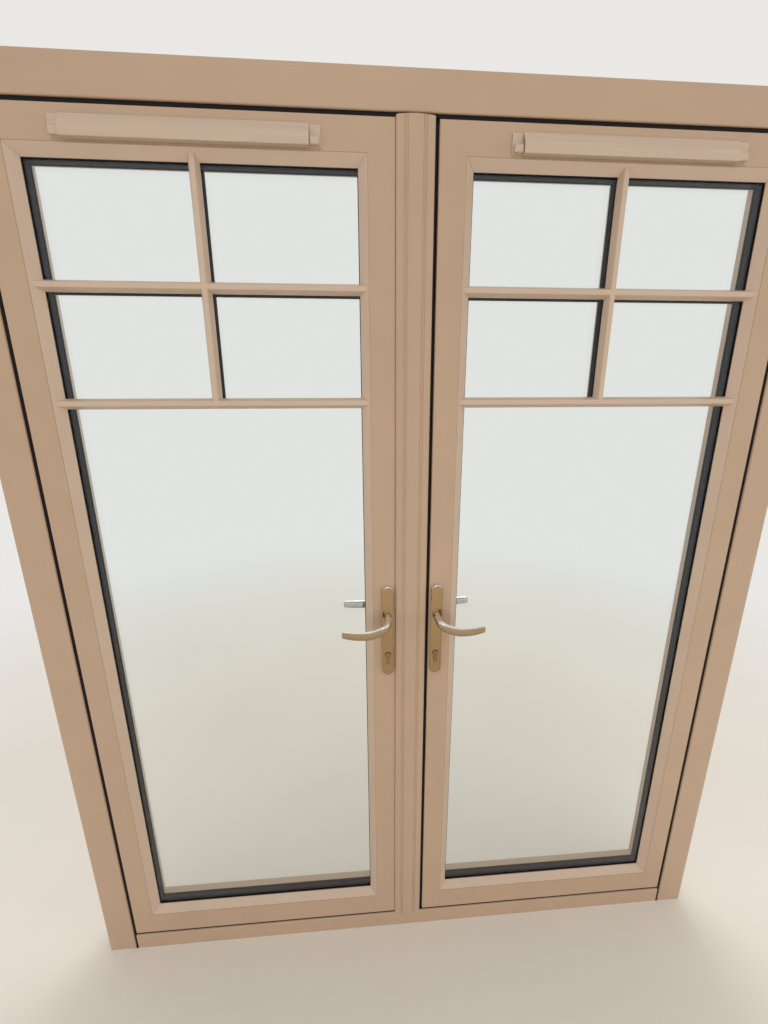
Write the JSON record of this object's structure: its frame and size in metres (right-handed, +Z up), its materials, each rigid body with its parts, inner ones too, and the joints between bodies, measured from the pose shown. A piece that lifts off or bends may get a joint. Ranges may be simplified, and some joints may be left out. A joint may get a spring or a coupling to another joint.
{
  "type": "french doors",
  "caption": "Pair of outward-opening glazed doors in their frame, with glazing bars over tall panes, lever handles, trickle vents and a meeting post.",
  "frame": {"origin": "on the frame's underside at mid width, in the plane of the leaves' inner faces", "axes": "+X across the opening towards the right leaf as seen from the room, +Y outwards, +Z up"},
  "size_m": [1.79, 0.1828, 2.2],
  "materials": {
    "cream_profile": "smooth cream, low sheen",
    "bead_cream": "smooth cream, low sheen",
    "cream_hinge": "powder coated cream",
    "vent_plastic": "smooth off-white",
    "black_gasket": "matt black",
    "black_spacer": "matt black",
    "clear_glass": "clear float glass",
    "polished_chrome": "polished",
    "zinc_steel": "zinc plated"
  },
  "bodies": {
    "frame": {"frame_head": "cream_profile", "frame_jamb_left": "cream_profile", "frame_jamb_right": "cream_profile", "frame_threshold": "cream_profile", "frame_seal": "black_gasket", "shoot_bolt_keeps": "zinc_steel", "frame_hinge_leaves": "cream_hinge", "hinge_pins": "zinc_steel"},
    "left_leaf": {"left_hinge_stile": "cream_profile", "left_meeting_stile": "cream_profile", "left_top_rail": "cream_profile", "left_bottom_rail": "cream_profile", "left_beads": "bead_cream", "left_inner_pane": "clear_glass", "left_outer_pane": "clear_glass", "left_spacer": "black_spacer", "left_glazing_gaskets": "black_gasket", "left_inside_bars": "bead_cream", "left_outside_bars": "bead_cream", "left_inside_plate": "polished_chrome", "left_outside_plate": "polished_chrome", "left_cylinder": "polished_chrome", "left_lock": "zinc_steel", "left_hinge_leaves": "cream_hinge", "left_vent_body": "vent_plastic", "left_vent_hood": "vent_plastic", "mullion": "cream_profile", "mullion_keeps": "zinc_steel", "mullion_seal": "black_gasket"},
    "right_leaf": {"right_hinge_stile": "cream_profile", "right_meeting_stile": "cream_profile", "right_top_rail": "cream_profile", "right_bottom_rail": "cream_profile", "right_beads": "bead_cream", "right_inner_pane": "clear_glass", "right_outer_pane": "clear_glass", "right_spacer": "black_spacer", "right_glazing_gaskets": "black_gasket", "right_inside_bars": "bead_cream", "right_outside_bars": "bead_cream", "right_inside_plate": "polished_chrome", "right_outside_plate": "polished_chrome", "right_cylinder": "polished_chrome", "right_lock": "zinc_steel", "right_hinge_leaves": "cream_hinge", "right_vent_body": "vent_plastic", "right_vent_hood": "vent_plastic"},
    "left_handle": {"left_inside_lever": "polished_chrome", "left_outside_lever": "polished_chrome", "left_spindle": "zinc_steel"},
    "right_handle": {"right_inside_lever": "polished_chrome", "right_outside_lever": "polished_chrome", "right_spindle": "zinc_steel"},
    "left_top_bolt": {"left_top_bolt": "zinc_steel"},
    "left_bottom_bolt": {"left_bottom_bolt": "zinc_steel"},
    "right_deadbolts": {"right_deadbolts": "zinc_steel"},
    "right_latch": {"right_latch": "zinc_steel"},
    "left_vent_flap": {"left_vent_flap": "vent_plastic"},
    "right_vent_flap": {"right_vent_flap": "vent_plastic"}
  },
  "joints": [
    {"name": "left_leaf_hinge", "type": "hinge", "parent": "frame", "child": "left_leaf", "pos_m": [-0.842, 0.082, 1.1], "axis": [0, 0, 1], "range_deg": [0, 95]},
    {"name": "right_leaf_hinge", "type": "hinge", "parent": "frame", "child": "right_leaf", "pos_m": [0.842, 0.082, 1.1], "axis": [0, 0, 1], "range_deg": [-95, 0]},
    {"name": "left_handle_turn", "type": "hinge", "parent": "left_leaf", "child": "left_handle", "pos_m": [-0.061, 0, 1.087], "axis": [0, 1, 0], "range_deg": [-40, 40], "stiffness_Nm_per_rad": 6},
    {"name": "right_handle_turn", "type": "hinge", "parent": "right_leaf", "child": "right_handle", "pos_m": [0.061, 0, 1.087], "axis": [0, 1, 0], "range_deg": [-40, 40], "stiffness_Nm_per_rad": 6},
    {"name": "left_top_bolt_slide", "type": "slide", "parent": "left_leaf", "child": "left_top_bolt", "axis": [0, 0, 1], "range_m": [0, 0.022]},
    {"name": "left_bottom_bolt_slide", "type": "slide", "parent": "left_leaf", "child": "left_bottom_bolt", "axis": [0, 0, 1], "range_m": [-0.022, 0]},
    {"name": "right_deadbolt_slide", "type": "slide", "parent": "right_leaf", "child": "right_deadbolts", "axis": [-1, 0, 0], "range_m": [0, 0.02]},
    {"name": "right_latch_slide", "type": "slide", "parent": "right_leaf", "child": "right_latch", "axis": [-1, 0, 0], "range_m": [0, 0.012]},
    {"name": "left_vent_turn", "type": "hinge", "parent": "left_leaf", "child": "left_vent_flap", "pos_m": [-0.42925, -0.006, 2.072], "axis": [1, 0, 0], "range_deg": [0, 25]},
    {"name": "right_vent_turn", "type": "hinge", "parent": "right_leaf", "child": "right_vent_flap", "pos_m": [0.42925, -0.006, 2.072], "axis": [1, 0, 0], "range_deg": [0, 25]}
  ],
  "couplings": [
    {"joint": "left_bottom_bolt_slide", "follows": "left_top_bolt_slide", "ratio": -1}
  ]
}
